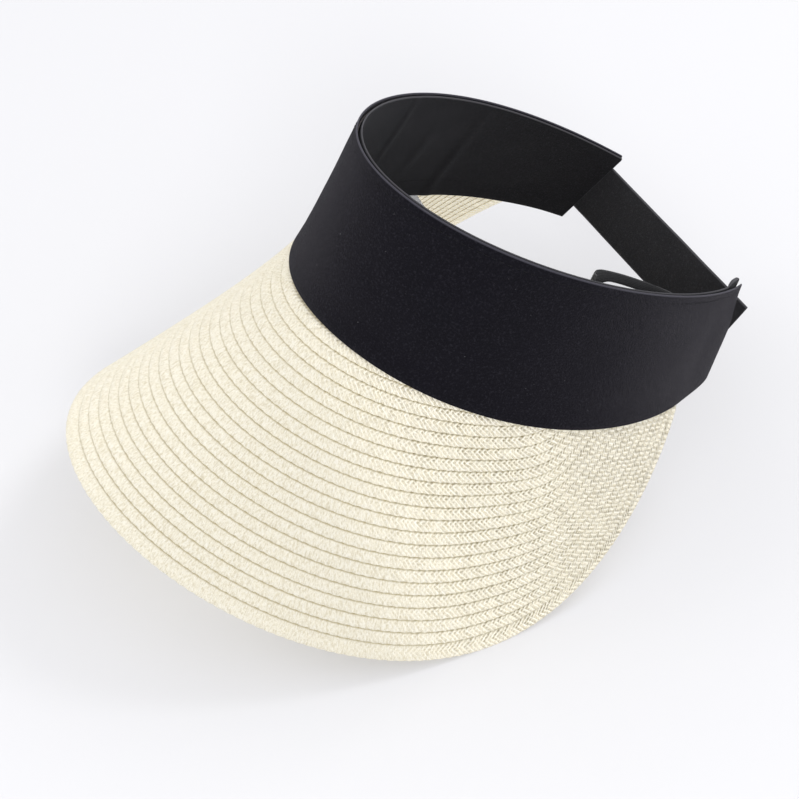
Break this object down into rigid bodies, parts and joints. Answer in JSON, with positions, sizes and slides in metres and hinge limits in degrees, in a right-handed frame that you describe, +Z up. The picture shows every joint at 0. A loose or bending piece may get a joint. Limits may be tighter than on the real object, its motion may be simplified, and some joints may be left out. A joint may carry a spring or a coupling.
{
  "type": "sun visor",
  "caption": "Open-crown sun visor: wide drooping brim of lapped straw braid under a tall layered cloth headband, closed behind by a hinged strap with hook and loop tape.",
  "frame": {"origin": "on the table under the middle of the bounding box, with the two side edges of the brim resting at z = 0", "axes": "front of the brim towards -Y, rear strap towards +Y, +Z up, wearer's left (the loose end of the strap) towards +X"},
  "size_m": [0.2352, 0.2978, 0.1819],
  "materials": {
    "straw": "woven paper, matte",
    "cotton": "plain weave, matte",
    "lining_cotton": "plain weave, matte",
    "interlining": "felted, matte",
    "thread": "matte",
    "strap_cloth": "plain weave, matte",
    "hook_nylon": "satin",
    "loop_nylon": "napped, matte",
    "elastic": "ribbed, matte",
    "label_satin": "satin"
  },
  "bodies": {
    "visor": {"band_cover": "cotton", "band_lining": "lining_cotton", "band_stiffener": "interlining", "braid_row_01": "straw", "braid_row_02": "straw", "braid_row_03": "straw", "braid_row_04": "straw", "braid_row_05": "straw", "braid_row_06": "straw", "braid_row_07": "straw", "braid_row_08": "straw", "braid_row_09": "straw", "braid_row_10": "straw", "braid_row_11": "straw", "braid_row_12": "straw", "braid_row_13": "straw", "braid_row_14": "straw", "braid_row_15": "straw", "braid_row_16": "straw", "braid_row_17": "straw", "braid_row_18": "straw", "braid_row_19": "straw", "braid_row_20": "straw", "braid_row_21": "straw", "edge_braid_row": "straw", "joining_stitching": "thread", "joining_tape": "lining_cotton", "loop_tape": "loop_nylon", "strap_anchor_stitching": "thread", "strap_root_tab": "strap_cloth", "top_stitching": "thread"},
    "strap": {"rear_strap": "strap_cloth", "hook_tape": "hook_nylon"},
    "loop": {"elastic_loop": "elastic"},
    "label": {"care_label": "label_satin"}
  },
  "joints": [
    {"name": "strap_fold", "type": "hinge", "parent": "visor", "child": "strap", "pos_m": [-0.05418, 0.13668, 0.07662], "axis": [0.274, 0.5014, 0.8207], "range_deg": [0, 95]},
    {"name": "loop_flip", "type": "hinge", "parent": "visor", "child": "loop", "pos_m": [0.06725, 0.07414, 0.13384], "axis": [-0.0584, -0.8323, 0.5512], "range_deg": [0, 70]},
    {"name": "label_flip", "type": "hinge", "parent": "visor", "child": "label", "pos_m": [-0.08048, 0.0403, 0.08527], "axis": [-0.1729, 0.9293, -0.3265], "range_deg": [-75, 65]}
  ]
}
